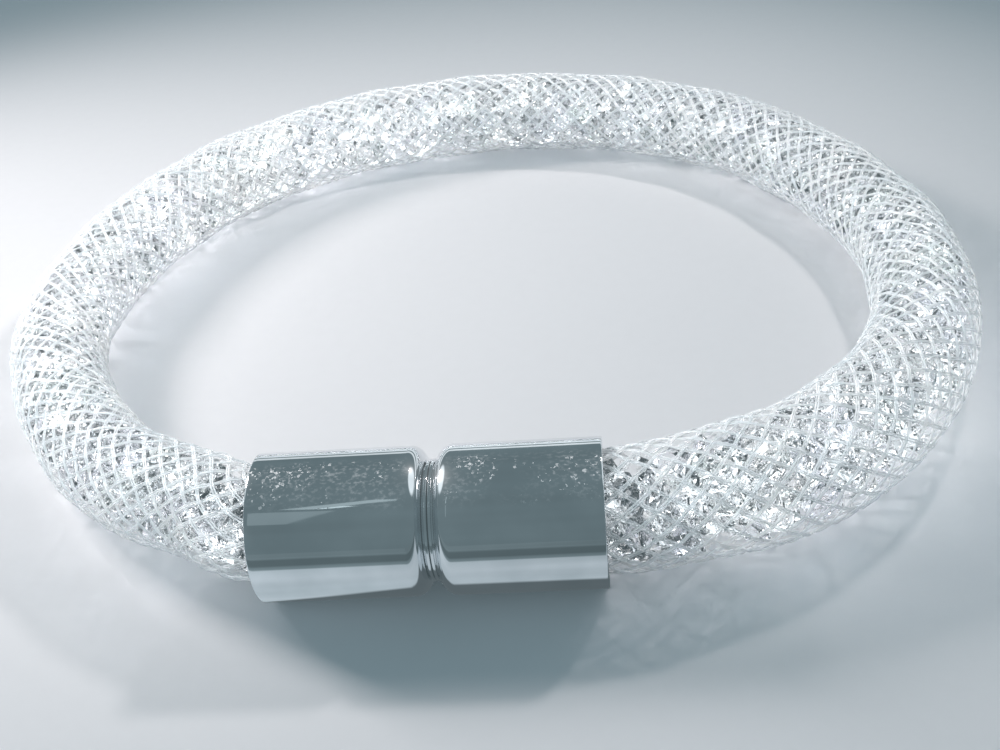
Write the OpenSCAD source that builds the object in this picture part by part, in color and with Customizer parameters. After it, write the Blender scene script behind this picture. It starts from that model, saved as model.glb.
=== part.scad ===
// Crystal bracelet: a loop of clear net sleeve filled with loose cut crystals, closed by a
// magnetic clasp of two polished metal caps. It lies flat, with the clasp at the front (-Y).

/* [Clasp] */
// Outer diameter of both caps
cap_d = 9; // [9:0.1:10]
// Length of the left cap, from its mouth to the joint
left_cap_l = 10.5; // [8.5:0.1:12]
// Length of the right cap, from its mouth to the joint
right_cap_l = 10.2; // [8.5:0.1:12]
// Wall of the socket that holds the sleeve
cap_wall = 0.5; // [0.4:0.05:0.5]
// Depth of that socket
socket_l = 6.2; // [5.6:0.1:6.6]
// Edge break at a cap's mouth
mouth_break = 0.12; // [0.05:0.01:0.2]
// Width of the rounded shoulder that falls to the neck
shoulder_w = 1; // [0.7:0.05:1]
// Diameter of the neck beside the joint
neck_d = 6.7; // [6:0.1:7]
// Diameter of the thin lip ring on each joint face
lip_d = 7.3; // [7.1:0.1:7.8]
// Width of that lip ring
lip_w = 0.2; // [0.14:0.02:0.2]
// Width of the whole groove on one side of the joint
groove_w = 1.3; // [1.3:0.05:1.5]
// Air between the two joint faces
joint_gap = 0.06; // [0.04:0.01:0.1]

/* [Sleeve] */
// Usual outer diameter of the filled sleeve
sleeve_d = 7.4; // [7:0.1:7.4]
// Thickness of the net where two strands cross
net_t = 0.4; // [0.3:0.05:0.6]
// Length of sleeve held inside each cap
tuck_l = 5; // [3:0.1:5.4]
// Air between the net and the crystals
fill_gap = 0.08; // [0.05:0.01:0.15]

/* [Loop] */
// Distance from the loop's centre to the clasp's axis
loop_r = 30.7; // [30:0.1:36]
// Rise of the sleeve's axis over the clasp's axis where it leaves a cap
mouth_rise = 0.12; // [0:0.01:0.14]
// Length over which the sleeve settles from cap height onto the surface
settle_l = 16; // [12:1:24]

/* [Hidden] */

// sides of the swept rings, rings from one section to the next, and facets of the shoulder
net_sides = 20;
fill_sides = 16;
rings_per_span = 3;
shoulder_steps = 8;

cap_r = cap_d / 2;
bore_r = cap_r - cap_wall;
sleeve_r = sleeve_d / 2;

// One row for each section of the filled sleeve, counterclockwise seen from above.
// bearing: degrees from the clasp; out: distance from the loop's centre beyond loop_r;
// full: radius as a share of the usual one, because the crystals fill it unevenly.
SECTIONS = [
    // bearing, out, full
    [27, 2.7, 1.07],
    [42, 4.3, 1.13],
    [64, 4.6, 1.05],
    [88, 3.4, 1.01],
    [112, 2.0, 0.97],
    [136, 1.6, 0.96],
    [160, 0.7, 0.99],
    [184, -0.1, 1.03],
    [208, 0.0, 1.02],
    [232, 0.3, 1.01],
    [256, 0.5, 1.00],
    [280, 1.4, 0.97],
    [300, 1.4, 0.95],
    [318, 1.4, 0.96],
    [333, 1.3, 0.96],
];
BEARING = 0;
OUT = 1;
FULL = 2;
// share of the usual radius at the right mouth and at the left one
mouth_full = [1.0, 0.90];

function place(row) =
    let (d = loop_r + row[OUT])
    [d * sin(row[BEARING]), -d * cos(row[BEARING])];

// Points that the sleeve's axis passes through, from the right mouth round to the left one.
STATIONS = [
    [right_cap_l, -loop_r],
    for (row = SECTIONS) place(row),
    [-left_cap_l, -loop_r],
];
STATION_R = sleeve_r * [mouth_full[0], for (row = SECTIONS) row[FULL], mouth_full[1]];
last = len(STATIONS) - 1;

function unit(v) = v / norm(v);
function span_l(i) = norm(STATIONS[i + 1] - STATIONS[i]);

// Direction at a station: along the clasp at both mouths, between its two spans elsewhere.
function heading(i) =
    i == 0 || i == last
        ? [1, 0]
        : let (before = span_l(i - 1), after = span_l(i))
          (unit(STATIONS[i] - STATIONS[i - 1]) * after
          + unit(STATIONS[i + 1] - STATIONS[i]) * before) / (before + after);

// Cubic curve from station i to the next, and its direction, at share t of the span.
function curve(i, t) =
    (2 * t ^ 3 - 3 * t ^ 2 + 1) * STATIONS[i]
    + (t ^ 3 - 2 * t ^ 2 + t) * span_l(i) * heading(i)
    + (3 * t ^ 2 - 2 * t ^ 3) * STATIONS[i + 1]
    + (t ^ 3 - t ^ 2) * span_l(i) * heading(i + 1);
function slope(i, t) =
    unit((6 * t ^ 2 - 6 * t) * (STATIONS[i] - STATIONS[i + 1])
    + (3 * t ^ 2 - 4 * t + 1) * span_l(i) * heading(i)
    + (3 * t ^ 2 - 2 * t) * span_l(i) * heading(i + 1));

function smooth(t) = let (c = min(1, max(0, t))) 3 * c ^ 2 - 2 * c ^ 3;

// Height of the axis: cap height at the mouths, the sleeve's own radius where it has settled.
function axis_z(xy, r) =
    let (to_mouth = min(norm(xy - STATIONS[0]), norm(xy - STATIONS[last])))
    let (rest = smooth(to_mouth / settle_l))
    (cap_r + mouth_rise) * (1 - rest) + r * rest;

// A ring of the sweep is its centre, its direction in plan and the sleeve's radius there.
function free_ring(i, t) =
    let (xy = curve(i, t), r = STATION_R[i] * (1 - t) + STATION_R[i + 1] * t)
    [[xy.x, xy.y, axis_z(xy, r)], slope(i, t), r];
// A ring in line with the clasp, `step` beyond the mouth at station i.
function straight_ring(i, step) =
    [[STATIONS[i].x + step, -loop_r, cap_r + mouth_rise], [1, 0], STATION_R[i]];

RINGS = [
    straight_ring(0, -tuck_l),
    for (i = [0 : last - 1], k = [0 : rings_per_span - 1]) free_ring(i, k / rings_per_span),
    straight_ring(last, 0),
    straight_ring(last, tuck_l),
];

// Corners of one ring, drawn inwards from the sleeve's outside by `inset`.
function corners(a_ring, inset, sides) =
    let (c = a_ring[0], dir = a_ring[1], r = a_ring[2] - inset)
    [for (k = [0 : sides - 1])
        let (a = 360 * k / sides)
        c + [dir.y * r * cos(a), -dir.x * r * cos(a), r * sin(a)]];
function skin(inset, sides) = [for (a_ring = RINGS) each corners(a_ring, inset, sides)];

// Side faces between each ring and the next, starting at point number `first`.
function side_faces(rings, sides, first, outward) =
    [for (i = [0 : rings - 2], k = [0 : sides - 1])
        let (a = first + i * sides + k, b = first + i * sides + (k + 1) % sides)
        outward ? [a, b, b + sides, a + sides] : [a, a + sides, b + sides, b]];

// The loop is drawn about the clasp's joint, and then set with its outer box about the origin.
OUTLINE = skin(0, net_sides);
function low(axis) = min([for (p = OUTLINE) p[axis]]);
function high(axis) = max([for (p = OUTLINE) p[axis]]);
box_centre = [
    (low(0) + high(0)) / 2,
    (min(low(1), -loop_r - cap_r) + high(1)) / 2,
    0,
];

// Outline of one half of the clasp as [radius, distance from the joint], from the joint face
// over the lip ring, the neck and the rounded shoulder to the mouth, and back in the socket.
function cap_outline(length) =
    let (
        joint = joint_gap / 2,
        neck_r = neck_d / 2,
        lip_r = lip_d / 2,
        fall = cap_r - neck_r
    )
    [
        [0, joint],
        [lip_r, joint],
        [lip_r, joint + lip_w],
        [neck_r, joint + lip_w],
        for (a = [90 : -90 / shoulder_steps : 0])
            [cap_r - fall * (1 - cos(a)), groove_w - shoulder_w * sin(a)],
        [cap_r, length - mouth_break],
        [cap_r - mouth_break, length],
        [bore_r, length],
        [bore_r, length - socket_l],
        [0, length - socket_l],
    ];

// Half of the clasp, its joint face near x = 0 and its mouth at x = length.
module cap(length) {
    rotate([0, 90, 0])
        rotate_extrude($fn = 96)
            polygon(cap_outline(length));
}

// Net sleeve, one thin wall round the crystals, open at both tucked ends.
module mesh_sleeve() {
    rings = len(RINGS);
    inner = rings * net_sides;
    last_ring = (rings - 1) * net_sides;
    color([0.88, 0.91, 0.93])
        translate(-box_centre)
            polyhedron(
                points = concat(OUTLINE, skin(net_t, net_sides)),
                faces = concat(
                    side_faces(rings, net_sides, 0, true),
                    side_faces(rings, net_sides, inner, false),
                    [for (k = [0 : net_sides - 1])
                        let (n = (k + 1) % net_sides)
                        [n, k, inner + k, inner + n]],
                    [for (k = [0 : net_sides - 1])
                        let (a = last_ring + k, b = last_ring + (k + 1) % net_sides)
                        [a, b, inner + b, inner + a]]
                )
            );
}

// The loose crystals as one packed core, as long as the sleeve.
module crystal_fill() {
    rings = len(RINGS);
    last_ring = (rings - 1) * fill_sides;
    color([0.80, 0.84, 0.87])
        translate(-box_centre)
            polyhedron(
                points = skin(net_t + fill_gap, fill_sides),
                faces = concat(
                    side_faces(rings, fill_sides, 0, true),
                    [[for (k = [fill_sides - 1 : -1 : 0]) k]],
                    [[for (k = [0 : fill_sides - 1]) last_ring + k]]
                )
            );
}

// Cap on the left end of the sleeve.
module left_cap() {
    color([0.42, 0.48, 0.51])
        translate([0, -loop_r, cap_r] - box_centre)
            mirror([1, 0, 0])
                cap(left_cap_l);
}

// Cap on the right end of the sleeve.
module right_cap() {
    color([0.42, 0.48, 0.51])
        translate([0, -loop_r, cap_r] - box_centre)
            cap(right_cap_l);
}

mesh_sleeve();
crystal_fill();
left_cap();
right_cap();
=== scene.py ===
"""Looks of a round bracelet: a clear net tube packed with cut crystals and closed by two polished caps."""

import math

import bmesh
import bpy
import numpy as np
from bpy.props import FloatProperty, FloatVectorProperty, IntProperty, PointerProperty
from mathutils import Matrix, Quaternion, Vector


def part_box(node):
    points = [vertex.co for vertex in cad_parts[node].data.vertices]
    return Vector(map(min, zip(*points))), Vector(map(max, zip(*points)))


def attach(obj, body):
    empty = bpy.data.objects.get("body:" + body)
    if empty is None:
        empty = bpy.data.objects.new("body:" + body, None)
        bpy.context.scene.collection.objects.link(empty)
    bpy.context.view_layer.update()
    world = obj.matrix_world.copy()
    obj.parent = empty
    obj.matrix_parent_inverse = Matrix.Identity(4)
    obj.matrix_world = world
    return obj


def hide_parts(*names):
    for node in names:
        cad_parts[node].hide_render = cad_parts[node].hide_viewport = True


bl_info = {
    "name": "Crystal Net Bracelet",
    "version": (1, 0, 0),
    "blender": (4, 5, 0),
    "location": "3D View > Sidebar > Bracelet",
    "description": "Builds a net tube bracelet with loose cut crystals and a magnetic clasp",
    "category": "Add Mesh",
}

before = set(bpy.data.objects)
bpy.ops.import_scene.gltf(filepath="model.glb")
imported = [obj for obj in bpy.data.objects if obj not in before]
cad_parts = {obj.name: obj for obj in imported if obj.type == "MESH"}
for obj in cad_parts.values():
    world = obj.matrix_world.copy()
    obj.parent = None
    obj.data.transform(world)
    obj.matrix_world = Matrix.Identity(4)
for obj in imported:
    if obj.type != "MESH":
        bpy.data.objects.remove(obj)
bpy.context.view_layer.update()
MM = 0.001
UP = np.array([0, 0, 1.0])
# the least length that something is divided by
TINY = 1e-9
FRAME_WIDTH_PX = 1000

# The loop of the filled sleeve, in millimetres as in the part. One row for each section,
# counterclockwise from above: degrees from the clasp, distance beyond loop_r, share of the radius.
SECTIONS = [
    (27, 2.7, 1.07),
    (42, 4.3, 1.13),
    (64, 4.6, 1.05),
    (88, 3.4, 1.01),
    (112, 2.0, 0.97),
    (136, 1.6, 0.96),
    (160, 0.7, 0.99),
    (184, -0.1, 1.03),
    (208, 0.0, 1.02),
    (232, 0.3, 1.01),
    (256, 0.5, 1.00),
    (280, 1.4, 0.97),
    (300, 1.4, 0.95),
    (318, 1.4, 0.96),
    (333, 1.3, 0.96),
]
BEARING, OUT, FULL = 0, 1, 2
# share of the radius at the right mouth and at the left one
MOUTH_FULL = (1.0, 0.90)


def mm(value, name, description, low, high):
    """A length property whose default and limits are given in millimetres."""
    return FloatProperty(
        name=name, description=description, default=value * MM, min=low * MM, max=high * MM,
        unit="LENGTH", subtype="DISTANCE", precision=5,
    )


def degrees(value, name, description, low, high):
    """An angle property whose default and limits are given in degrees."""
    return FloatProperty(
        name=name, description=description, default=math.radians(value),
        min=math.radians(low), max=math.radians(high), unit="ROTATION", subtype="ANGLE",
    )


def colour(value, name, description):
    """A colour property."""
    return FloatVectorProperty(
        name=name, description=description, size=3, default=value, min=0, max=1, subtype="COLOR",
    )


class LoopSettings(bpy.types.PropertyGroup):
    """Sizes of the loop, which match the part."""

    loop_r: mm(30.7, "Loop radius", "Distance from the loop's centre to the clasp's axis", 25, 45)
    sleeve_r: mm(3.7, "Sleeve radius", "Usual radius of the filled sleeve", 3, 5)
    right_cap_l: mm(10.2, "Right cap", "Length of the right cap from joint to mouth", 8, 13)
    left_cap_l: mm(10.5, "Left cap", "Length of the left cap from joint to mouth", 8, 13)
    cap_r: mm(4.5, "Cap radius", "Outer radius of both caps", 4, 6)
    mouth_rise: mm(0.12, "Mouth rise", "Rise of the sleeve's axis over the clasp's at a cap", 0, 0.5)
    settle_l: mm(16, "Settling length", "Length over which the sleeve comes down to the surface", 8, 30)
    tuck_l: mm(5, "Tuck", "Length of sleeve held inside each cap", 2, 6)


class NetSettings(bpy.types.PropertyGroup):
    """Sizes of the net."""

    strands: IntProperty(
        name="Strands", description="Strands that wind each way round the tube", default=16, min=8, max=24,
    )
    filament_r: mm(0.058, "Filament radius", "Radius of one nylon filament", 0.05, 0.2)
    pair_gap: mm(0.14, "Pair spacing", "Distance between the two filaments of a strand", 0.1, 0.6)
    weave_rise: mm(0.06, "Weave rise", "How far a strand rises over the one that it crosses", 0.05, 0.2)
    lay_angle: degrees(42, "Lay angle", "Angle between a strand and the tube's length", 17, 69)
    lump: mm(0.05, "Lumps", "How far the crystals push the net out of round", 0, 0.2)


class CrystalSettings(bpy.types.PropertyGroup):
    """Sizes and number of the cut crystals."""

    count: IntProperty(
        name="Crystals", description="Number of loose crystals", default=1060, min=10, max=2000,
    )
    small_r: mm(1.15, "Smallest radius", "Girdle radius of the smallest crystal", 0.5, 2)
    large_r: mm(1.5, "Largest radius", "Girdle radius of the largest crystal", 0.5, 2)
    wall: mm(0.46, "Net allowance", "Net and air between the crystals and the sleeve's outside", 0.2, 1)


class ClaspSettings(bpy.types.PropertyGroup):
    """Sizes of the clasp."""

    wall: mm(0.5, "Wall", "Wall of a socket", 0.3, 0.8)
    socket_l: mm(6.2, "Socket", "Depth of a socket", 5, 7)
    groove_w: mm(1.3, "Groove", "Width of the groove on one side of the joint", 0.8, 2)
    shoulder_w: mm(1.0, "Shoulder", "Width of the rounded shoulder", 0.3, 1)
    neck_r: mm(3.35, "Neck radius", "Radius of the neck beside the joint", 2.5, 4)
    lip_r: mm(3.65, "Lip radius", "Radius of the lip ring on a joint face", 3, 4.4)
    lip_w: mm(0.2, "Lip width", "Width of the lip ring", 0.1, 0.5)
    joint_gap: mm(0.06, "Joint gap", "Air between the two joint faces", 0.02, 0.2)


class StageSettings(bpy.types.PropertyGroup):
    """Camera, floor and room."""

    focal_px: FloatProperty(
        name="Focal length in pixels", description="For a frame 1000 pixels wide", default=1266.74, min=100,
    )
    yaw: degrees(-6.025, "Yaw", "Turn of the view to the right of +Y", -180, 180)
    pitch: degrees(34.785, "Pitch", "Tilt of the view below the horizon", 0, 90)
    roll: degrees(-6.613, "Roll", "Roll of the view", -180, 180)
    place: FloatVectorProperty(
        name="Camera place", description="Where the camera stands", size=3,
        default=(9.676 * MM, -87.235 * MM, 54.530 * MM), unit="LENGTH", subtype="XYZ",
    )
    floor_colour: colour((0.74, 0.78, 0.81), "Floor", "Colour of the plain floor")
    room_colour: colour((0.1, 0.139, 0.153), "Room", "Colour of the dim room that the metal mirrors")


# The loop


def smooth_step(t):
    """Goes from 0 to 1 as t does, and is level at both ends."""
    t = np.clip(t, 0, 1)
    return 3 * t**2 - 2 * t**3


def section_place(sizes, row):
    """Where a section's centre lies in plan."""
    distance = sizes.loop_r + row[OUT] * MM
    bearing = math.radians(row[BEARING])
    return distance * math.sin(bearing), -distance * math.cos(bearing)


class Loop:
    """Centreline of the sleeve as fine samples: length along it, place, direction in plan and radius."""

    samples_per_span = 200
    samples_per_tuck = 60

    def __init__(self, sizes):
        rows = [section_place(sizes, row) for row in SECTIONS]
        stations = np.array([(sizes.right_cap_l, -sizes.loop_r), *rows, (-sizes.left_cap_l, -sizes.loop_r)])
        radii = sizes.sleeve_r * np.array([MOUTH_FULL[0], *(row[FULL] for row in SECTIONS), MOUTH_FULL[1]])
        place, slope, radius = self.free_part(stations, radii)
        tuck = np.linspace(0, sizes.tuck_l, self.samples_per_tuck)[:, None] * (1, 0)
        before, after = len(tuck) - 1, len(tuck)
        place = np.vstack([stations[0] - tuck[:0:-1], *place, stations[-1] + tuck])
        slope = np.vstack([np.tile((1.0, 0.0), (before, 1)), *slope, np.tile((1.0, 0.0), (after, 1))])
        self.radius = np.concatenate([np.full(before, radii[0]), *radius, np.full(after, radii[-1])])
        self.direction = slope / np.linalg.norm(slope, axis=1, keepdims=True)
        to_right = np.linalg.norm(place - stations[0], axis=1)
        to_left = np.linalg.norm(place - stations[-1], axis=1)
        rest = smooth_step(np.minimum(to_right, to_left) / sizes.settle_l)
        rest[:before] = 0
        rest[-after:] = 0
        height = (sizes.cap_r + sizes.mouth_rise) * (1 - rest) + self.radius * rest
        self.place = np.column_stack([place, height])
        step = np.linalg.norm(np.diff(self.place, axis=0), axis=1)
        self.along = np.concatenate([[0], np.cumsum(step)])
        self.length = self.along[-1]
        # the loop is drawn about the clasp's joint, and then set where the part's right cap is
        low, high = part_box("right_cap")
        self.shift = np.array([sizes.right_cap_l - high[0], -sizes.loop_r - (low[1] + high[1]) / 2, 0])
        self.place -= self.shift

    def free_part(self, stations, radii):
        """Places, slopes and radii along the cubic curve through the stations, one array for each span."""
        span = np.diff(stations, axis=0)
        span_l = np.linalg.norm(span, axis=1)
        way = span / span_l[:, None]
        heading = np.tile((1.0, 0.0), (len(stations), 1))
        share = (span_l[:-1] + span_l[1:])[:, None]
        heading[1:-1] = (way[:-1] * span_l[1:, None] + way[1:] * span_l[:-1, None]) / share
        t = np.linspace(0, 1, self.samples_per_span, endpoint=False)[:, None]
        place, slope, radius = [], [], []
        for i, length in enumerate(span_l):
            a, b, u, v = stations[i], stations[i + 1], heading[i] * length, heading[i + 1] * length
            place.append((2 * t**3 - 3 * t**2 + 1) * a + (t**3 - 2 * t**2 + t) * u
                         + (3 * t**2 - 2 * t**3) * b + (t**3 - t**2) * v)
            slope.append((6 * t**2 - 6 * t) * (a - b) + (3 * t**2 - 4 * t + 1) * u + (3 * t**2 - 2 * t) * v)
            radius.append(radii[i] * (1 - t[:, 0]) + radii[i + 1] * t[:, 0])
        return place, slope, radius

    def at(self, s):
        """Place, outward and forward directions and radius at lengths s along the sleeve."""
        place = np.column_stack([np.interp(s, self.along, self.place[:, k]) for k in range(3)])
        plan = np.column_stack([np.interp(s, self.along, self.direction[:, k]) for k in range(2)])
        plan /= np.linalg.norm(plan, axis=1, keepdims=True)
        outward = np.column_stack([plan[:, 1], -plan[:, 0], np.zeros(len(plan))])
        forward = np.column_stack([plan, np.zeros(len(plan))])
        return place, outward, forward, np.interp(s, self.along, self.radius)


# Pieces


def net_collection():
    """The pieces of the net, which are all that one of the lamps lights."""
    return bpy.data.collections.get("lit_net") or bpy.data.collections.new("lit_net")


def new_object(name, mesh, material, replaced):
    """A finished piece that rides on the bracelet and stands for one node of the part."""
    piece = bpy.data.objects.new(name, mesh)
    bpy.context.scene.collection.objects.link(piece)
    piece.data.materials.append(material)
    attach(piece, "root")
    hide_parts(replaced)
    return piece


# Rings of corners on one cut crystal of girdle radius 1, as radius and height: the rim of the table,
# the top and the bottom of the girdle, and the blunt point.
CUT = [
    (0.6, 0.36),
    (1.0, 0.06),
    (1.0, -0.02),
    (0.045, -0.78),
]
CUT_SIDES = 8


def unit_crystal():
    """One cut crystal: table, crown facets, girdle and facets down to the point."""
    cut = bmesh.new()
    for radius, height in CUT:
        level = Matrix.Translation((0, 0, height))
        bmesh.ops.create_circle(cut, segments=CUT_SIDES, radius=radius, matrix=level)
    bmesh.ops.convex_hull(cut, input=cut.verts)
    bmesh.ops.dissolve_limit(cut, angle_limit=math.radians(2), verts=cut.verts, edges=cut.edges)
    bmesh.ops.recalc_face_normals(cut, faces=cut.faces)
    mesh = bpy.data.meshes.new("unit_crystal")
    cut.to_mesh(mesh)
    cut.free()
    return mesh


# Balls that stand for one crystal of girdle radius 1 while the crystals are shaken together:
# distance from its axis, height, radius and how many there are round the axis.
BALLS = [
    (0.0, -0.03, 0.36, 1),
    (0.70, 0.03, 0.28, 6),
    (0.0, -0.42, 0.32, 1),
    (0.0, -0.68, 0.12, 1),
]
# how many of the next crystals along the sleeve are tested against each one
NEARBY = 25
# air between the crystals and the sleeve's ends
END_GAP = 0.1 * MM
# how strongly one round pushes and turns a crystal that is pressed, and the most that it turns it
PUSH_SHARE, TURN_SHARE, MOST_TURN = 0.28, 0.9, 0.3
ROUNDS, QUICK_ROUNDS = 320, 60


def crystal_balls():
    """Places and radii of the balls of one crystal."""
    places, radii = [], []
    for out, height, radius, around in BALLS:
        for k in range(around):
            a = math.tau * k / around
            places.append((out * math.cos(a), out * math.sin(a), height))
            radii.append(radius)
    return np.array(places), np.array(radii)


def turned(q, v):
    """Vectors v turned by unit quaternions q, whose last column is the scalar."""
    axis, w = q[..., :3], q[..., 3:]
    t = 2 * np.cross(axis, v)
    return v + w * t + np.cross(axis, t)


def spun(q, spin):
    """Unit quaternions q turned further, each round its own vector of spin and by its length."""
    amount = np.linalg.norm(spin, axis=1, keepdims=True)
    half = spin * np.minimum(1, MOST_TURN / np.maximum(amount, TINY)) / 2
    axis, w = q[:, :3], q[:, 3:]
    q = np.column_stack([axis + w * half + np.cross(half, axis), w[:, 0] - (half * axis).sum(1)])
    return q / np.linalg.norm(q, axis=1, keepdims=True)


def scattered(loop, sizes, rng):
    """Random starts in the sleeve: length along it, centre, turn and radius of each crystal."""
    n = sizes.count
    size = rng.uniform(sizes.small_r, sizes.large_r, n)
    margin = 0.6 * MM
    s = np.sort(rng.uniform(margin, loop.length - margin, n))
    place, outward, _, tube_r = loop.at(s)
    # a crystal's centre starts at least 0.6 of its radius from the net
    reach = np.sqrt(rng.uniform(0, 1, n)) * (tube_r - sizes.wall - size * 0.6)
    turn = rng.uniform(0, math.tau, n)
    centre = place + outward * (reach * np.cos(turn))[:, None] + UP * (reach * np.sin(turn))[:, None]
    q = rng.normal(size=(n, 4))
    q /= np.linalg.norm(q, axis=1, keepdims=True)
    return s, centre, q, size


def from_neighbours(centre, radius, spot, ball_r):
    """Push and twist of each crystal by its neighbours. A spot is a ball's place seen from the centre."""
    n = len(centre)
    world = centre[:, None, :] + spot
    first = np.concatenate([np.arange(n - k) for k in range(1, NEARBY + 1)])
    second = np.concatenate([np.arange(k, n) for k in range(1, NEARBY + 1)])
    close = np.linalg.norm(centre[first] - centre[second], axis=1) < radius[first] + radius[second]
    first, second = first[close], second[close]
    apart = world[first][:, :, None, :] - world[second][:, None, :, :]
    distance = np.sqrt((apart**2).sum(-1))
    deep = ball_r[first][:, :, None] + ball_r[second][:, None, :] - distance
    pair, a, b = np.nonzero(deep > 0)
    way = apart[pair, a, b] / np.maximum(distance[pair, a, b], TINY)[:, None]
    force = way * deep[pair, a, b][:, None]
    i, j = first[pair], second[pair]
    moment_i, moment_j = np.cross(spot[i, a], force), -np.cross(spot[j, b], force)
    push, twist = np.zeros((n, 3)), np.zeros((n, 3))
    for k in range(3):
        push[:, k] = np.bincount(i, force[:, k], n) - np.bincount(j, force[:, k], n)
        twist[:, k] = np.bincount(i, moment_i[:, k], n) + np.bincount(j, moment_j[:, k], n)
    return push, twist


def from_net(track, length, s, centre, spot, ball_r, wall):
    """Push and twist of each crystal by the net and by the two ends of the sleeve."""
    line, outward, forward, tube_r = track
    offset = centre[:, None, :] + spot - line[:, None, :]
    sideways = (offset * outward[:, None, :]).sum(-1)
    upwards = offset[..., 2]
    across = np.sqrt(sideways**2 + upwards**2)
    over = np.maximum(across + ball_r - (tube_r - wall)[:, None], 0)
    inward = -(outward[:, None, :] * (sideways / np.maximum(across, TINY))[..., None]
               + UP * (upwards / np.maximum(across, TINY))[..., None])
    along = s[:, None] + (offset * forward[:, None, :]).sum(-1)
    start = np.maximum(ball_r + END_GAP - along, 0)
    end = np.maximum(along + ball_r + END_GAP - length, 0)
    # the net pushes twice as hard as a neighbour does
    force = inward * over[..., None] * 2 + forward[:, None, :] * (start - end)[..., None]
    return force.sum(1), np.cross(spot, force).sum(1)


def shaken(loop, sizes, seed=7):
    """Crystals pushed apart from random starts until they lie side by side: centres, turns and radii."""
    ball, ball_r = crystal_balls()
    s, centre, q, size = scattered(loop, sizes, np.random.default_rng(seed))
    rounds = ROUNDS
    for k in range(rounds):
        order = np.argsort(s, kind="stable")
        s, centre, q, size = s[order], centre[order], q[order], size[order]
        # they start small, and are at full size a little after half of the rounds
        radius = size * min(1.0, 0.65 + 0.35 * k / (0.55 * rounds))
        spot = turned(q[:, None, :], ball[None] * radius[:, None, None])
        spot_r = ball_r[None] * radius[:, None]
        track = loop.at(s)
        push, twist = from_neighbours(centre, radius, spot, spot_r)
        net_push, net_twist = from_net(track, loop.length, s, centre, spot, spot_r, sizes.wall)
        centre = centre + (push + net_push) * PUSH_SHARE
        q = spun(q, (twist + net_twist) * TURN_SHARE / (radius**2)[:, None])
        line, _, forward, _ = track
        s = np.clip(s + ((centre - line) * forward).sum(1), 0, loop.length)
    return centre, q, size


def placed_copies(name, template, centre, q, size, seed=3):
    """One joined mesh of template at each centre, turn and size, with a number of its own for each copy."""
    values = np.random.default_rng(seed).uniform(0, 1, len(centre))
    template.attributes.new("stone", "FLOAT", "POINT")
    joined = bmesh.new()
    for place, (x, y, z, w), radius, value in zip(centre, q, size, values):
        stone = template.copy()
        turn = Quaternion((w, x, y, z))
        stone.transform(Matrix.LocRotScale(Vector(place), turn, Vector((radius, radius, radius))))
        stone.attributes["stone"].data.foreach_set("value", [value] * len(stone.vertices))
        joined.from_mesh(stone)
        bpy.data.meshes.remove(stone)
    mesh = bpy.data.meshes.new(name)
    joined.to_mesh(mesh)
    joined.free()
    return mesh


# Nodes


def add_node(tree, kind, settings=None, **inputs):
    """A node with its properties set, and its inputs set to a number or colour or linked to a socket."""
    node = tree.nodes.new(kind)
    for name, value in (settings or {}).items():
        setattr(node, name, value)
    for name, value in inputs.items():
        fill(tree, node.inputs[name.replace("_", " ")], value)
    return node


def fill(tree, socket, value):
    """Sets an input to a number or colour, or links it to an output."""
    if isinstance(value, bpy.types.NodeSocket):
        tree.links.new(value, socket)
    else:
        socket.default_value = value


def math_node(tree, operation, first, second):
    """The result of an operation on two numbers, each a value or an output."""
    node = add_node(tree, "ShaderNodeMath", {"operation": operation})
    fill(tree, node.inputs[0], first)
    fill(tree, node.inputs[1], second)
    return node.outputs["Value"]


def vector_node(tree, operation, *inputs):
    """A vector operation on inputs that are each a value or an output."""
    node = add_node(tree, "ShaderNodeVectorMath", {"operation": operation})
    for socket, value in zip(node.inputs, inputs):
        fill(tree, socket, value)
    return node


def mixed(tree, share, first, second):
    """A colour between two, each a colour or an output."""
    mix = add_node(tree, "ShaderNodeMix", {"data_type": "RGBA"}, Factor=share)
    fill(tree, mix.inputs["A"], first)
    fill(tree, mix.inputs["B"], second)
    return mix.outputs["Result"]


def ranged(tree, value, low, high, start=0.0, end=1.0, smooth=False):
    """A number that goes from start to end as value goes from low to high."""
    kind = "SMOOTHSTEP" if smooth else "LINEAR"
    node = add_node(tree, "ShaderNodeMapRange", {"interpolation_type": kind}, Value=value,
                    From_Min=low, From_Max=high, To_Min=start, To_Max=end)
    return node.outputs["Result"]


def ramp(tree, share, stops):
    """A colour that follows share through stops of place and colour."""
    node = add_node(tree, "ShaderNodeValToRGB", Fac=share)
    elements = node.color_ramp.elements
    while len(elements) < len(stops):
        elements.new(0.5)
    for element, (place, shade) in zip(elements, stops):
        element.position = place
        element.color = (*shade, 1)
    return node.outputs["Color"]


def object_coordinates(tree):
    return tree.nodes.new("ShaderNodeTexCoord").outputs["Object"]


def stretched_noise(tree, where, scale, detail):
    """Noise that is scaled by a different amount along each axis."""
    spaced = add_node(tree, "ShaderNodeMapping", Vector=where)
    spaced.inputs["Scale"].default_value = scale
    noise = add_node(tree, "ShaderNodeTexNoise", Vector=spaced.outputs["Vector"], Scale=1.0, Detail=detail)
    return noise.outputs["Fac"]


def new_group(name, inputs, outputs):
    """A shader node group with its input and output nodes. An input is a name, a kind and a usual value."""
    group = bpy.data.node_groups.new(name, "ShaderNodeTree")
    for title, kind, value in inputs:
        socket = group.interface.new_socket(title, in_out="INPUT", socket_type="NodeSocket" + kind)
        socket.default_value = value
    for title, kind in outputs:
        group.interface.new_socket(title, in_out="OUTPUT", socket_type="NodeSocket" + kind)
    return group, group.nodes.new("NodeGroupInput"), group.nodes.new("NodeGroupOutput")


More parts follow.
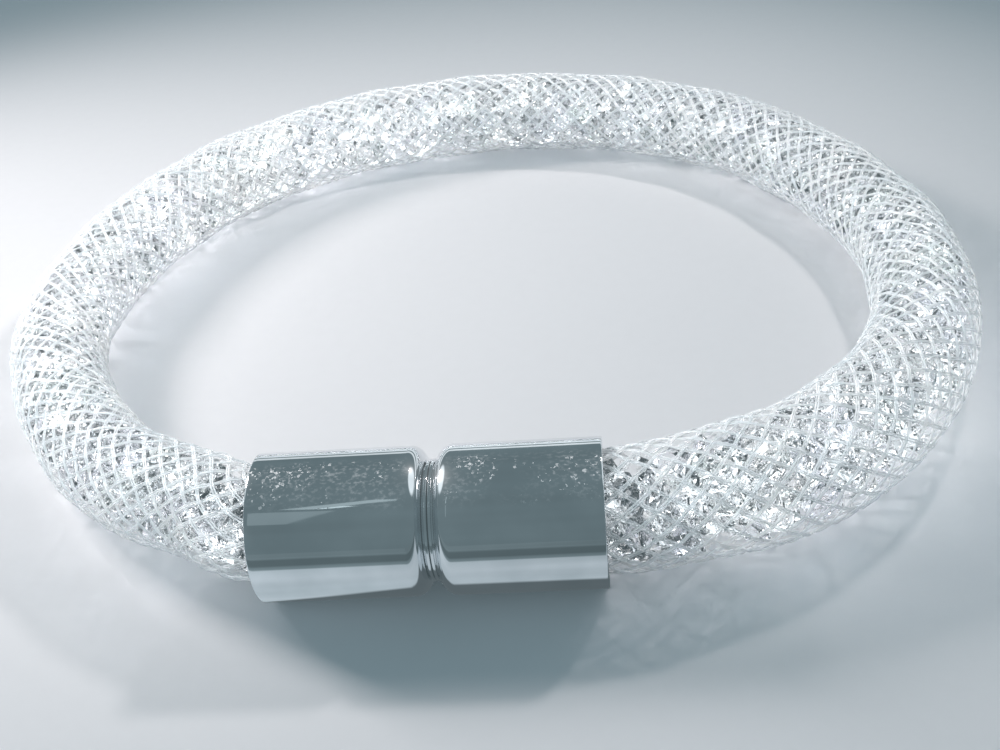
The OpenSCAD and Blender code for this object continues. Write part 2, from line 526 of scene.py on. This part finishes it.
def placed_group(tree, build, **inputs):
    """A group placed in a material. The group itself is built only once, and has its builder's name."""
    group = bpy.data.node_groups.get(build.__name__) or build()
    node = tree.nodes.new("ShaderNodeGroup")
    node.node_tree = group
    for title, value in inputs.items():
        node.inputs[title.replace("_", " ")].default_value = value
    return node


def settled_dust():
    """Fine specks that have settled on faces that look up, thicker in some places than in others."""
    group, given, result = new_group(
        "settled_dust",
        [("Speck Scale", "Float", 5800.0), ("Speck Size", "Float", 0.7), ("Amount", "Float", 0.85)],
        [("Mask", "Float"), ("Top", "Float")],
    )
    where = object_coordinates(group)
    patches = add_node(group, "ShaderNodeTexNoise", Vector=where, Scale=420.0, Detail=1.0)
    # the outline of each speck is broken by bending the coordinates
    bend = add_node(group, "ShaderNodeTexNoise", Vector=where, Scale=7000.0, Detail=0.0)
    bent = vector_node(group, "MULTIPLY_ADD", bend.outputs["Color"], (0.25 * MM,) * 3, where)
    cells = add_node(group, "ShaderNodeTexVoronoi", Vector=bent.outputs["Vector"],
                     Scale=given.outputs["Speck Scale"])
    number = add_node(group, "ShaderNodeSeparateColor", Color=cells.outputs["Color"])
    small = math_node(group, "POWER", number.outputs["Red"], 2.5)
    reach = math_node(group, "MULTIPLY", small, given.outputs["Speck Size"])
    speck = math_node(group, "LESS_THAN", cells.outputs["Distance"], reach)
    drifts = ranged(group, patches.outputs["Fac"], 0.42, 0.7)
    share = math_node(group, "MULTIPLY", drifts, given.outputs["Amount"])
    kept = math_node(group, "LESS_THAN", number.outputs["Green"], share)
    dense = ranged(group, number.outputs["Blue"], 0.0, 1.0, 0.25)
    face = group.nodes.new("ShaderNodeNewGeometry")
    facing = vector_node(group, "DOT_PRODUCT", face.outputs["Normal"], (0, -0.3, 0.954))
    top = ranged(group, facing.outputs["Value"], 0.9, 0.98, smooth=True)
    mask = math_node(group, "MULTIPLY", math_node(group, "MULTIPLY", speck, kept), dense)
    group.links.new(top, result.inputs["Top"])
    group.links.new(math_node(group, "MULTIPLY", mask, top), result.inputs["Mask"])
    return group


def slow_drift():
    """A slow change between two colours, and the same change as a number."""
    group, given, result = new_group(
        "slow_drift",
        [("Scale", "Float", 330.0), ("First", "Color", (1, 1, 1, 1)), ("Second", "Color", (1, 1, 1, 1))],
        [("Color", "Color"), ("Share", "Float")],
    )
    noise = add_node(group, "ShaderNodeTexNoise", Vector=object_coordinates(group),
                     Scale=given.outputs["Scale"], Detail=2.0)
    share = ranged(group, noise.outputs["Fac"], 0.35, 0.65)
    drifting = mixed(group, share, given.outputs["First"], given.outputs["Second"])
    group.links.new(drifting, result.inputs["Color"])
    group.links.new(share, result.inputs["Share"])
    return group


# Materials


def new_material(name):
    """A material, its node tree and its shader."""
    material = bpy.data.materials.new(name)
    material.use_nodes = True
    return material, material.node_tree, material.node_tree.nodes["Principled BSDF"]


def shade_by(tree, share, first, second):
    """Puts the first shader on the surface where share is 0, and the second one where it is 1."""
    mix = add_node(tree, "ShaderNodeMixShader", Fac=share)
    tree.links.new(first, mix.inputs[1])
    tree.links.new(second, mix.inputs[2])
    tree.links.new(mix.outputs["Shader"], tree.nodes["Material Output"].inputs["Surface"])


# Tints of the stones along their own number: most are clear, the others faintly violet, green or rose.
STONE_TINTS = (
    (0.0, (1.0, 1.0, 1.0)),
    (0.62, (0.995, 1.0, 1.0)),
    (0.74, (0.96, 0.955, 1.0)),
    (0.86, (0.955, 0.99, 0.97)),
    (1.0, (1.0, 0.975, 0.965)),
)


def crystal_glass():
    """Clear cut glass whose stones differ by a faint tint. Rays from lamps pass straight through."""
    material, tree, glass = new_material("cut_crystal_glass")
    number = add_node(tree, "ShaderNodeAttribute", {"attribute_name": "stone"})
    tree.links.new(ramp(tree, number.outputs["Fac"], STONE_TINTS), glass.inputs["Base Color"])
    glass.inputs["Roughness"].default_value = 0
    glass.inputs["Transmission Weight"].default_value = 1
    glass.inputs["IOR"].default_value = 1.35
    path = tree.nodes.new("ShaderNodeLightPath")
    clear = add_node(tree, "ShaderNodeBsdfTransparent", Color=(0.87, 0.88, 0.89, 1))
    shade_by(tree, path.outputs["Is Shadow Ray"], glass.outputs["BSDF"], clear.outputs["BSDF"])
    return material


def nylon():
    """Milky clear monofilament with cloudy lengths."""
    material, tree, clear = new_material("clear_nylon")
    cloud = placed_group(tree, slow_drift, Scale=420.0, First=(0.93, 0.96, 0.975, 1), Second=(1, 1, 1, 1))
    tree.links.new(cloud.outputs["Color"], clear.inputs["Base Color"])
    tree.links.new(ranged(tree, cloud.outputs["Share"], 0.0, 1.0, 0.15, 0.35), clear.inputs["Roughness"])
    clear.inputs["Transmission Weight"].default_value = 0.45
    clear.inputs["IOR"].default_value = 1.4
    clear.inputs["Alpha"].default_value = 0.58
    return material


def cap_metal():
    """Mirror-polished steel with lengthwise polishing lines, smudges, a dusty film and specks."""
    material, tree, steel = new_material("polished_cap_metal")
    where = object_coordinates(tree)
    lines = stretched_noise(tree, where, (60, 3200, 3200), 2.0)
    wiped = stretched_noise(tree, where, (45, 1100, 1100), 1.0)
    film = stretched_noise(tree, where, (3600, 5000, 5000), 3.0)
    smudge = placed_group(tree, slow_drift, Scale=330.0,
                          First=(0.68, 0.705, 0.725, 1), Second=(0.8, 0.82, 0.84, 1))
    dust = placed_group(tree, settled_dust, Speck_Scale=5800.0, Speck_Size=0.7, Amount=0.85)
    metal = add_node(tree, "ShaderNodeVectorMath", {"operation": "SCALE"},
                     Scale=ranged(tree, wiped, 0.35, 0.65, 0.93, 1.07))
    tree.links.new(smudge.outputs["Color"], metal.inputs[0])
    patch = math_node(tree, "MULTIPLY", ranged(tree, film, 0.5, 0.72, 0.0, 0.5), smudge.outputs["Share"])
    haze = math_node(tree, "MULTIPLY", patch, dust.outputs["Top"])
    dull = math_node(tree, "MAXIMUM", haze, dust.outputs["Mask"])
    whole = mixed(tree, dull, metal.outputs["Vector"], (0.82, 0.88, 0.9, 1))
    tree.links.new(whole, steel.inputs["Base Color"])
    tree.links.new(math_node(tree, "SUBTRACT", 1.0, dull), steel.inputs["Metallic"])
    clean = ranged(tree, smudge.outputs["Share"], 0.0, 1.0, 0.015, 0.05)
    lined = math_node(tree, "ADD", clean, math_node(tree, "MULTIPLY", lines, 0.03))
    dusty = math_node(tree, "MAXIMUM", lined, math_node(tree, "MULTIPLY", dust.outputs["Mask"], 0.7))
    tree.links.new(dusty, steel.inputs["Roughness"])
    bump = add_node(tree, "ShaderNodeBump", Strength=0.08, Distance=0.01 * MM, Height=lines)
    tree.links.new(bump.outputs["Normal"], steel.inputs["Normal"])
    return material


# A painted reflection for the caps: a glowing strip on the floor in front of them that only reflected rays
# see. Place across it in millimetres, brightness.
STRIP = (
    (-90, 0.14),
    (-85, 0.165),
    (-78, 0.145),
    (-71, 0.115),
    (-66, 0.07),
    (-50, 0.065),
    (-47.5, 0.15),
    (-45.6, 0.18),
    (-44.6, 0.47),
    (-40.0, 0.53),
    (-36.0, 0.48),
)
# the places that the two ends of its colour ramp stand for
STRIP_FAR, STRIP_NEAR = -90, -30
# only the floor in front of this line, which runs under the clasp, shows the strip
STRIP_FROM = -31


def mirrored_floor(tree, x, y):
    """A painted reflection: the bright strip and the dim room behind it as an emission, and where a
    reflected ray meets them.
    """
    # the strip lies slightly askew, and its dim parts are bluer than its bright ones
    across = math_node(tree, "ADD", y, math_node(tree, "MULTIPLY", x, 0.037))
    stops = []
    for place, level in STRIP:
        tint = (level * (0.7 + 0.34 * level), level, level * 1.09)
        stops.append(((place - STRIP_FAR) / (STRIP_NEAR - STRIP_FAR), tint))
    shade = ramp(tree, ranged(tree, across, STRIP_FAR * MM, STRIP_NEAR * MM), stops)
    # a painted shadow of the clasp ends the strip, further in at the left end, where the painted strip is
    # also brighter
    inwards = math_node(tree, "MULTIPLY", math_node(tree, "MINIMUM", x, -2 * MM), 0.27)
    lit = ranged(tree, math_node(tree, "ADD", y, inwards), -36.3 * MM, -35.8 * MM, 1.0, 0.14)
    side = ranged(tree, x, -10 * MM, 10 * MM, 1.2, 1.0)
    bright = math_node(tree, "MULTIPLY", lit, side)
    strip = add_node(tree, "ShaderNodeEmission", Color=shade, Strength=bright)
    # only reflected rays see this painted glow, so the caps show it while the floor itself looks plain
    path = tree.nodes.new("ShaderNodeLightPath")
    front = math_node(tree, "LESS_THAN", y, STRIP_FROM * MM)
    bounced = math_node(tree, "SUBTRACT", path.outputs["Is Glossy Ray"], path.outputs["Is Transmission Ray"])
    return strip, math_node(tree, "MULTIPLY", front, bounced)


def floor_paint(shade):
    """Plain pale paint, faintly mottled, that goes over into a pale backdrop beyond the lamps' reach, with a
    painted reflection strip in front of the clasp that only reflected rays see.
    """
    material, tree, paint = new_material("plain_floor_with_painted_reflection")
    paint.inputs["Roughness"].default_value = 0.9
    paint.inputs["Specular IOR Level"].default_value = 0.1
    where = object_coordinates(tree)
    grain = add_node(tree, "ShaderNodeTexNoise", Vector=where, Scale=900.0, Detail=3.0)
    dark, light = ((*(Vector(shade) * change), 1) for change in (0.985, 1.015))
    tree.links.new(mixed(tree, grain.outputs["Fac"], dark, light), paint.inputs["Base Color"])
    away = vector_node(tree, "LENGTH", where)
    far = ranged(tree, away.outputs["Value"], 110 * MM, 320 * MM, 0.0, 0.42, smooth=True)
    tree.links.new(far, paint.inputs["Emission Strength"])
    paint.inputs["Emission Color"].default_value = (0.94, 0.98, 1.0, 1)
    split = add_node(tree, "ShaderNodeSeparateXYZ", Vector=where)
    strip, met = mirrored_floor(tree, split.outputs["X"], split.outputs["Y"])
    # reflected rays in front of the clasp see the painted reflection strip instead of the paint
    shade_by(tree, met, paint.outputs["BSDF"], strip.outputs["Emission"])
    return material


# Operators


class BRACELET_OT_net(bpy.types.Operator):
    """Winds the net sleeve from pairs of clear filaments that pass over and under each other"""

    bl_idname = "bracelet.net"
    bl_label = "Net sleeve"

    points_per_crossing = 3
    # wavelengths in millimetres over which a strand strays from its even place
    stray_waves = (31, 17, 9)

    def execute(self, context):
        sizes = context.scene.bracelet_net
        loop = Loop(context.scene.bracelet_loop)
        material = nylon()
        rng = np.random.default_rng(11)
        mean_r = (loop.radius[1:] + loop.radius[:-1]) / 2
        wind = np.concatenate([[0], np.cumsum(np.diff(loop.along) * math.tan(sizes.lay_angle) / mean_r)])
        crossing = wind * sizes.strands / math.pi
        steps = np.arange(0, int(crossing[-1] * self.points_per_crossing)) / self.points_per_crossing
        at = np.interp(steps, crossing, loop.along)
        track = loop.at(at)
        angle = np.interp(at, loop.along, wind)
        weave = np.cos(math.pi * steps) * sizes.weave_rise
        apart = sizes.pair_gap / math.cos(sizes.lay_angle)
        for side, name in ((1, "net_right_lay"), (-1, "net_left_lay")):
            for half in range(2):
                curve = self.new_curve(name, sizes.filament_r)
                for k in range(half, sizes.strands, 2):
                    stray = self.stray(rng, at) * math.tau / sizes.strands
                    middle = math.tau * k / sizes.strands + side * angle + stray
                    for pair in (-0.5, 0.5):
                        a = middle + pair * apart / track[-1]
                        self.add_filament(curve, self.filament(sizes, track, at, a, side * weave))
                mesh = self.drawn(context, curve)
                piece = new_object(f"{name}_{half + 1}", mesh, material, "mesh_sleeve")
                net_collection().objects.link(piece)
        return {"FINISHED"}

    def new_curve(self, name, radius):
        """An empty curve whose lines are drawn as round filaments."""
        curve = bpy.data.curves.new(name, "CURVE")
        curve.dimensions = "3D"
        curve.bevel_depth = radius
        curve.bevel_resolution = 1
        curve.use_fill_caps = True
        return curve

    def stray(self, rng, at):
        """How far a strand strays round the tube, as a share of the space between two strands."""
        total = 0
        for wave in self.stray_waves:
            amount = rng.uniform(0.01, 0.035)
            phase = rng.uniform(0, math.tau)
            total = total + amount * np.sin(at / (wave * MM) * math.tau + phase)
        return total

    def filament(self, sizes, track, at, a, weave):
        """Points of one filament, at angles a round the tube and lengths at along it."""
        place, outward, _, radius = track
        # two sets of lumps, three and two to a turn, wind along the tube opposite ways
        lump = sizes.lump * (np.cos(3 * a + at / (2.1 * MM)) + np.cos(2 * a - at / (1.3 * MM)))
        rho = radius - 2 * sizes.filament_r + weave + lump
        points = place + outward * (rho * np.cos(a))[:, None] + UP * (rho * np.sin(a))[:, None]
        points[:, 2] = np.maximum(points[:, 2], sizes.filament_r)
        return points

    def add_filament(self, curve, points):
        """Adds one filament through the points to the curve."""
        line = curve.splines.new("POLY")
        line.points.add(len(points) - 1)
        line.points.foreach_set("co", np.column_stack([points, np.ones(len(points))]).ravel())
        line.use_smooth = True

    def drawn(self, context, curve):
        """The curve's filaments as a mesh."""
        wire = bpy.data.objects.new(curve.name, curve)
        context.scene.collection.objects.link(wire)
        mesh = bpy.data.meshes.new_from_object(wire.evaluated_get(context.evaluated_depsgraph_get()))
        bpy.data.objects.remove(wire)
        mesh.materials.clear()
        mesh.shade_smooth()
        return mesh


class BRACELET_OT_crystals(bpy.types.Operator):
    """Packs the net with loose cut crystals"""

    bl_idname = "bracelet.crystals"
    bl_label = "Crystals"

    def execute(self, context):
        loop = Loop(context.scene.bracelet_loop)
        centre, q, size = shaken(loop, context.scene.bracelet_crystals)
        template = unit_crystal()
        mesh = placed_copies("crystals", template, centre, q, size)
        bpy.data.meshes.remove(template)
        new_object("crystals", mesh, crystal_glass(), "crystal_fill")
        return {"FINISHED"}


def arc(centre, radius, start, stop, steps):
    """Points along a quarter of an ellipse, from the start angle to the stop angle in degrees."""
    angles = [math.radians(start + (stop - start) * k / steps) for k in range(steps + 1)]
    return [(centre[0] + radius[0] * math.cos(a), centre[1] + radius[1] * math.sin(a)) for a in angles]


class BRACELET_OT_caps(bpy.types.Operator):
    """Turns the two polished caps of the magnetic clasp"""

    bl_idname = "bracelet.caps"
    bl_label = "Clasp caps"

    turn_steps = 144
    edge_steps = 5
    shoulder_steps = 18
    # radius of the edges of the lip ring, and of the mouth
    lip_edge, mouth_edge = 0.06 * MM, 0.1 * MM
    # faces that meet at more than this angle keep a sharp edge between them
    sharp = math.radians(35)

    def execute(self, context):
        sizes, loop_sizes = context.scene.bracelet_clasp, context.scene.bracelet_loop
        joint = Vector((0, -loop_sizes.loop_r, loop_sizes.cap_r)) - Vector(Loop(loop_sizes).shift)
        material = cap_metal()
        for name, way, length in (
            ("right_cap", 1, loop_sizes.right_cap_l),
            ("left_cap", -1, loop_sizes.left_cap_l),
        ):
            cap = bmesh.new()
            corners = [cap.verts.new((radius, 0, height))
                       for radius, height in self.outline(sizes, loop_sizes.cap_r, length)]
            edges = [cap.edges.new(ends) for ends in zip(corners, corners[1:])]
            bmesh.ops.spin(cap, geom=corners + edges, cent=(0, 0, 0), axis=(0, 0, 1),
                           angle=math.tau, steps=self.turn_steps, use_merge=True)
            bmesh.ops.remove_doubles(cap, verts=cap.verts, dist=1e-7)
            bmesh.ops.recalc_face_normals(cap, faces=cap.faces)
            turn = Matrix.Rotation(math.radians(90 * way), 4, "Y")
            bmesh.ops.transform(cap, matrix=Matrix.Translation(joint) @ turn, verts=cap.verts)
            for face in cap.faces:
                face.smooth = True
            for edge in cap.edges:
                edge.smooth = edge.calc_face_angle(0) < self.sharp
            mesh = bpy.data.meshes.new(name + "_polished")
            cap.to_mesh(mesh)
            cap.free()
            new_object(name + "_polished", mesh, material, name)
        return {"FINISHED"}

    def outline(self, sizes, cap_r, length):
        """Radius and distance from the joint, over the outside to the mouth and back in the socket."""
        joint = sizes.joint_gap / 2
        edge, mouth = self.lip_edge, self.mouth_edge
        bore = cap_r - sizes.wall
        fall = cap_r - sizes.neck_r
        floor = length - sizes.socket_l
        shoulder = (sizes.neck_r, sizes.groove_w), (fall, -sizes.shoulder_w)
        # the short stretches beside the curves keep their smooth shading out of the long straight ones
        return [
            (0, joint),
            *arc((sizes.lip_r - edge, joint + edge), (edge, edge), -90, 0, self.edge_steps),
            *arc((sizes.lip_r - edge, joint + sizes.lip_w - edge), (edge, edge), 0, 90, self.edge_steps),
            (sizes.neck_r, joint + sizes.lip_w),
            *arc(*shoulder, 90, 0, self.shoulder_steps),
            (cap_r, sizes.groove_w + 0.3 * MM),
            (cap_r, length - mouth - 0.2 * MM),
            *arc((cap_r - mouth, length - mouth), (mouth, mouth), 0, 90, self.edge_steps),
            *arc((bore + mouth, length - mouth), (mouth, mouth), 90, 180, self.edge_steps),
            (bore, floor + 0.2 * MM),
            (bore, floor),
            (0, floor),
        ]


class BRACELET_OT_stage(bpy.types.Operator):
    """Sets the camera, a plain pale floor with a painted reflection strip for the caps, and soft studio
    light
    """

    bl_idname = "bracelet.stage"
    bl_label = "Stage"

    # colours of the warm lamps, the cool one and the cards
    warm, cool, card = (1.0, 0.9, 0.88), (0.83, 0.94, 1.0), (0.8, 0.95, 1.0)

    def execute(self, context):
        scene = context.scene
        look = scene.bracelet_stage
        self.camera(scene, look)
        self.floor(scene, look)
        self.world(scene, look)
        self.lights(scene)
        self.veil(scene)
        scene.view_settings.view_transform = "Standard"
        # light has to find its way through many stones
        scene.cycles.max_bounces = 20
        scene.cycles.transmission_bounces = 20
        scene.cycles.glossy_bounces = 4
        scene.cycles.diffuse_bounces = 3
        scene.cycles.sample_clamp_indirect = 6
        return {"FINISHED"}

    def camera(self, scene, look):
        """A camera that looks along yaw and pitch, with the lens that gives the focal length in pixels."""
        data = bpy.data.cameras.new("camera")
        data.sensor_width = 36
        data.lens = look.focal_px / FRAME_WIDTH_PX * data.sensor_width
        data.clip_start = MM
        flat = math.cos(look.pitch)
        forward = Vector((math.sin(look.yaw) * flat, math.cos(look.yaw) * flat, -math.sin(look.pitch)))
        level = Vector((math.cos(look.yaw), -math.sin(look.yaw), 0))
        above = level.cross(forward)
        right = math.cos(look.roll) * level + math.sin(look.roll) * above
        up = -math.sin(look.roll) * level + math.cos(look.roll) * above
        camera = bpy.data.objects.new("camera", data)
        camera.matrix_world = Matrix((right, up, -forward)).transposed().to_4x4()
        camera.location = look.place
        scene.collection.objects.link(camera)
        scene.camera = camera

    def floor(self, scene, look):
        """A floor four metres each way from the middle."""
        plane = bmesh.new()
        bmesh.ops.create_grid(plane, x_segments=1, y_segments=1, size=4)
        mesh = bpy.data.meshes.new("floor")
        plane.to_mesh(mesh)
        plane.free()
        floor = bpy.data.objects.new("floor", mesh)
        scene.collection.objects.link(floor)
        floor.data.materials.append(floor_paint(look.floor_colour))

    def world(self, scene, look):
        """A pale backdrop, soft light on what is matt, and a dim room for what is polished.

        What is seen through clear pieces is brightest at the back left.
        """
        world = bpy.data.worlds.new("room")
        world.use_nodes = True
        world.cycles.sampling_method = "NONE"
        scene.world = world
        tree = world.node_tree
        path = tree.nodes.new("ShaderNodeLightPath")
        direction = tree.nodes.new("ShaderNodeTexCoord").outputs["Generated"]

        def level(axis, low, high, dark, bright):
            """A colour that goes from dark to bright as the ray's part along axis goes from low to high."""
            along = vector_node(tree, "DOT_PRODUCT", direction, axis)
            return mixed(tree, ranged(tree, along.outputs["Value"], low, high, smooth=True), dark, bright)

        up, back, back_left = (0, 0, 1), (0, 1, 0), (-0.9, 0.43, 0)
        sides = ((-0.7, 0.4, 0.6), (0.7, 0.4, 0.6))
        room, pale = (*look.room_colour, 1), (0.85, 0.93, 0.97, 1)
        edge = level(up, 0.25, 0.21, room, pale)
        edge = level(up, 0.15, 0.13, edge, room)
        edge = level(up, 0.09, 0.07, edge, pale)
        mirrored = level(back, 0.0, 0.4, room, edge)
        for side in sides:
            mirrored = level(side, 0.93, 0.97, mirrored, (0.9, 1.0, 1.05, 1))
        through = level(back_left, 0.0, 0.7, (1.1, 1.21, 1.28, 1), (4.6, 4.85, 5.0, 1))
        ambient = level(up, 0.0, 1.0, (0.137, 0.197, 0.223, 1), (0.16, 0.23, 0.26, 1))
        seen = level(up, 0.0, 0.4, (0.62, 0.67, 0.7, 1), (0.5, 0.55, 0.58, 1))
        chosen = mixed(tree, path.outputs["Is Glossy Ray"], ambient, mirrored)
        chosen = mixed(tree, path.outputs["Is Transmission Ray"], chosen, through)
        chosen = mixed(tree, path.outputs["Is Camera Ray"], chosen, seen)
        tree.links.new(chosen, tree.nodes["Background"].inputs["Color"])

    def lights(self, scene):
        """Two small lamps, two wide soft ones, and three thin cards that show only in reflections."""
        lamps = (
            # name, place, aim and size in millimetres, spread in degrees, watts, colour,
            # whether polished pieces mirror it, and the only pieces that it lights
            ("key_left", (-124, 50, 92), (-4, -34, 0), (43, 43), 98, 0.0715, self.warm, True, None),
            ("key_right", (71, 60, 106.5), (-60, -20, 0), (12, 12), 98, 0.0285, self.warm, True, None),
            ("fill_front", (30, -260, 95), (5, -20, 3), (220, 140), 180, 0.016, self.warm, False, None),
            ("fill_net", (-80, -10, 110), (0, 0, 3), (70, 70), 180, 0.2, self.cool, False, net_collection()),
        )
        for name, place, aim, size, spread, power, shade, mirrored, lit in lamps:
            light = self.lamp(scene, name, place, size, power, shade)
            light.data.spread = math.radians(spread)
            light.rotation_quaternion = (Vector(aim) - Vector(place)).to_track_quat("-Z", "Y")
            light.visible_glossy = mirrored
            if lit:
                light.light_linking.receiver_collection = lit
        cards = (
            # name, place and size in millimetres, turn in degrees, brightness
            ("strip_wide", (-50, -120, 120), (58, 14), -107, 0.13),
            ("strip_thin", (-32, -74, 120), (26, 6), 51, 0.32),
            ("strip_glint", (-34, -82.5, 120), (8, 3), 45, 0.8),
        )
        for name, place, size, turn, bright in cards:
            power = bright * math.pi * size[0] * size[1] * MM**2
            light = self.lamp(scene, name, place, size, power, self.card)
            light.rotation_quaternion = Quaternion((0, 0, 1), math.radians(turn))
            light.visible_diffuse = False
            light.visible_transmission = False

    def lamp(self, scene, name, place, size, power, shade):
        """A flat lamp that the camera doesn't see, at a place and of a size in millimetres."""
        data = bpy.data.lights.new(name, "AREA")
        data.shape = "RECTANGLE"
        data.size, data.size_y = size[0] * MM, size[1] * MM
        data.color = shade
        data.energy = power
        light = bpy.data.objects.new(name, data)
        light.location = Vector(place) * MM
        light.rotation_mode = "QUATERNION"
        light.visible_camera = False
        scene.collection.objects.link(light)
        return light

    def veil(self, scene):
        """The glow and thin veil of light that a lens gives when it looks towards the lamps."""
        scene.use_nodes = True
        tree = scene.node_tree
        tree.nodes.clear()
        rendered = tree.nodes.new("CompositorNodeRLayers")
        glow = add_node(tree, "CompositorNodeGlare", {"glare_type": "FOG_GLOW", "quality": "HIGH"},
                        Image=rendered.outputs["Image"], Threshold=0.9, Strength=0.4, Size=0.5)
        veil = add_node(tree, "CompositorNodeMixRGB", {"blend_type": "SCREEN"})
        fill(tree, veil.inputs[0], 1)
        fill(tree, veil.inputs[1], glow.outputs["Image"])
        fill(tree, veil.inputs[2], (0.05, 0.07, 0.078, 1))
        add_node(tree, "CompositorNodeComposite", Image=veil.outputs["Image"])


class BRACELET_PT_panel(bpy.types.Panel):
    """Lists the bracelet's pieces"""

    bl_idname = "BRACELET_PT_panel"
    bl_label = "Crystal Net Bracelet"
    bl_space_type = "VIEW_3D"
    bl_region_type = "UI"
    bl_category = "Bracelet"

    def draw(self, context):
        for operator in OPERATORS:
            self.layout.operator(operator.bl_idname)


SETTINGS = {
    "bracelet_loop": LoopSettings,
    "bracelet_net": NetSettings,
    "bracelet_crystals": CrystalSettings,
    "bracelet_clasp": ClaspSettings,
    "bracelet_stage": StageSettings,
}
OPERATORS = (BRACELET_OT_stage, BRACELET_OT_net, BRACELET_OT_crystals, BRACELET_OT_caps)
CLASSES = (*SETTINGS.values(), *OPERATORS, BRACELET_PT_panel)


def register():
    for cls in CLASSES:
        bpy.utils.register_class(cls)
    for name, settings in SETTINGS.items():
        setattr(bpy.types.Scene, name, PointerProperty(type=settings))


def unregister():
    for name in SETTINGS:
        delattr(bpy.types.Scene, name)
    for cls in reversed(CLASSES):
        bpy.utils.unregister_class(cls)


def main():
    """Builds the stage and then each group of pieces."""
    register()
    bpy.ops.bracelet.stage()
    bpy.ops.bracelet.net()
    bpy.ops.bracelet.crystals()
    bpy.ops.bracelet.caps()


if __name__ == "__main__":
    main()
